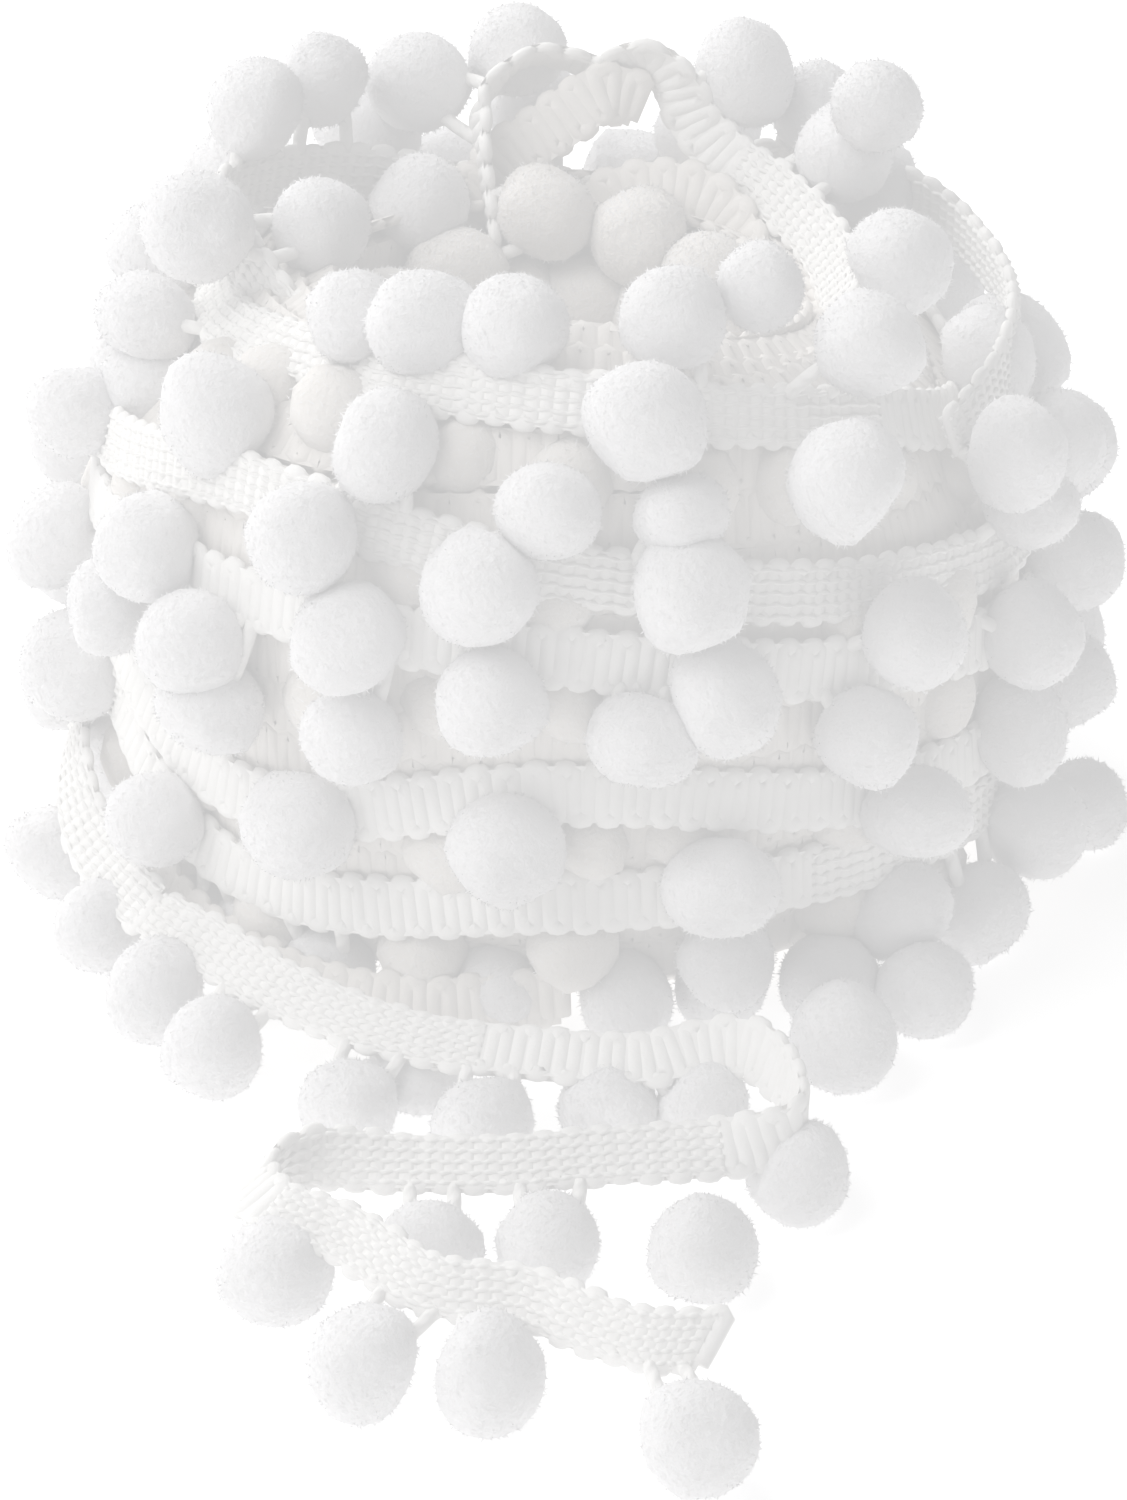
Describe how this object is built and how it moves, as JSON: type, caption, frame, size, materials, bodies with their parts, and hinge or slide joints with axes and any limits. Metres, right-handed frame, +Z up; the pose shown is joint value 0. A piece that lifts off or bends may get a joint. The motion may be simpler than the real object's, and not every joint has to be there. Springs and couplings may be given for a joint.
{
  "type": "pompom fringe trim",
  "caption": "White pompom fringe trim wound in a loose hollow ball, its loose end laid back and forth in front.",
  "frame": {"origin": "middle of the whole part's base, on the surface that it stands on", "axes": "+Z up along the axis of the wound ball, +X to the right and -Y towards the loose end, seen from the loose end"},
  "size_m": [0.2074, 0.3291, 0.1433],
  "materials": {
    "wound_yarn": "cut pile and ribbed cord, matt white",
    "loose_yarn": "cut pile and ribbed cord, matt white"
  },
  "bodies": {
    "root": {"wound_roll": "wound_yarn", "loose_end": "loose_yarn"}
  },
  "joints": []
}
